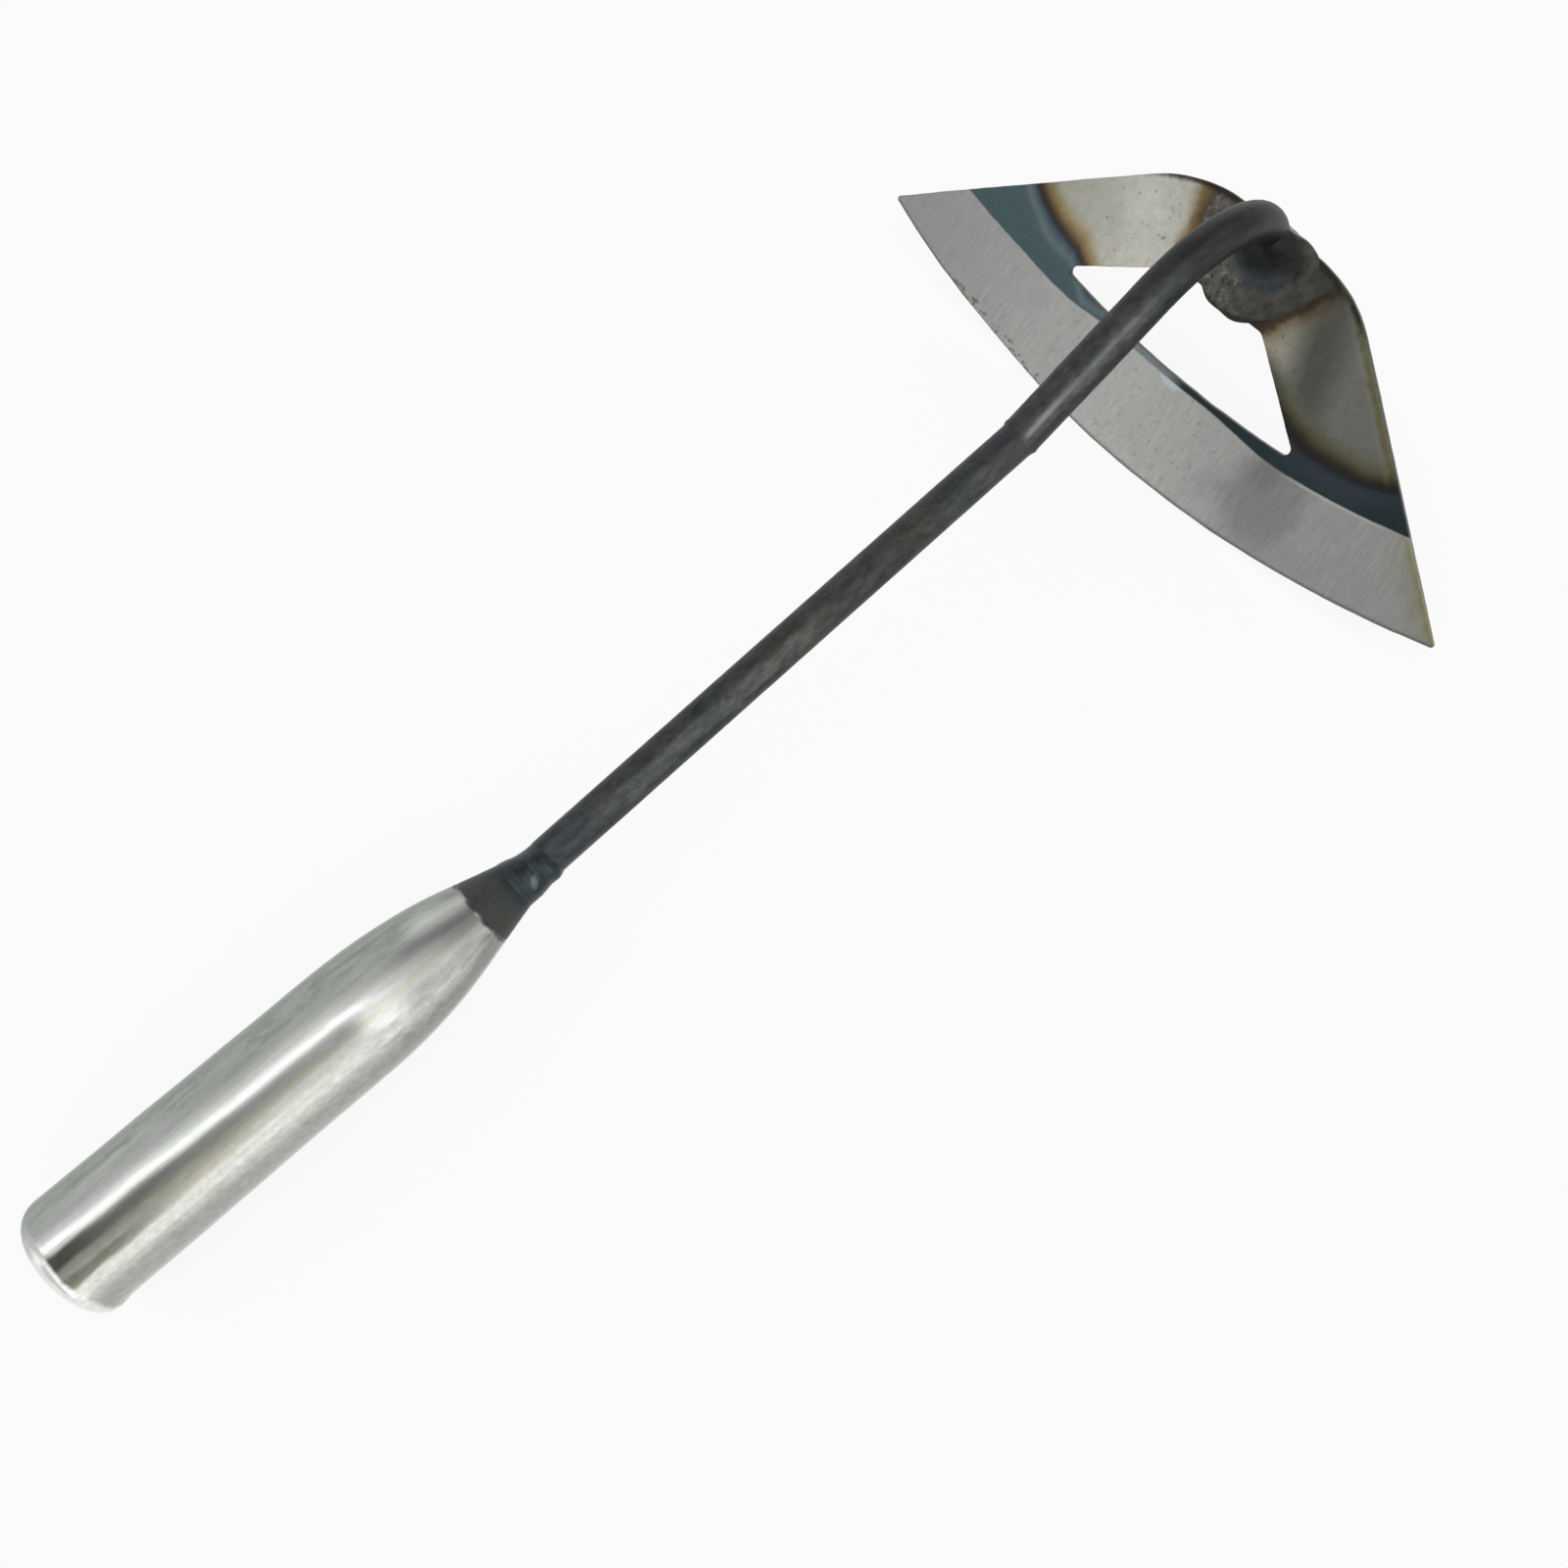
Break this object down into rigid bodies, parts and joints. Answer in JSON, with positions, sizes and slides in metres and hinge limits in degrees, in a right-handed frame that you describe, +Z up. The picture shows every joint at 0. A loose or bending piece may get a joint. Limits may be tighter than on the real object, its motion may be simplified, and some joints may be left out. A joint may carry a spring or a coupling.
{
  "type": "hollow hoe",
  "caption": "Short all-steel hand hoe: tubular handle, round rod with a gooseneck, and a leaning three-sided blade with a hollow middle and a ground cutting edge.",
  "frame": {"origin": "middle of the tool's outline on the surface that it rests on", "axes": "+X from the handle towards the blade, +Y across the blade, +Z up with the tool resting on its cutting edge and the rim of its butt"},
  "size_m": [0.3338, 0.1808, 0.0731],
  "materials": {
    "bright_tube": "bright drawn tube with fine lines along it, polished at the butt",
    "ground_collar": "dark steel with coarse grinding rings",
    "weld_metal": "blue-black uneven weld metal",
    "scaled_rod": "near-black mill scale, mottled",
    "blade_steel": "bare rolled steel with heat tints, ground bright along the edge"
  },
  "bodies": {
    "root": {"handle_tube": "bright_tube", "neck_collar": "ground_collar", "neck_weld_bead": "weld_metal", "shaft_rod": "scaled_rod", "rod_joint_weld": "weld_metal", "gooseneck_rod": "scaled_rod", "blade_plate": "blade_steel", "apex_weld": "weld_metal"}
  },
  "joints": []
}
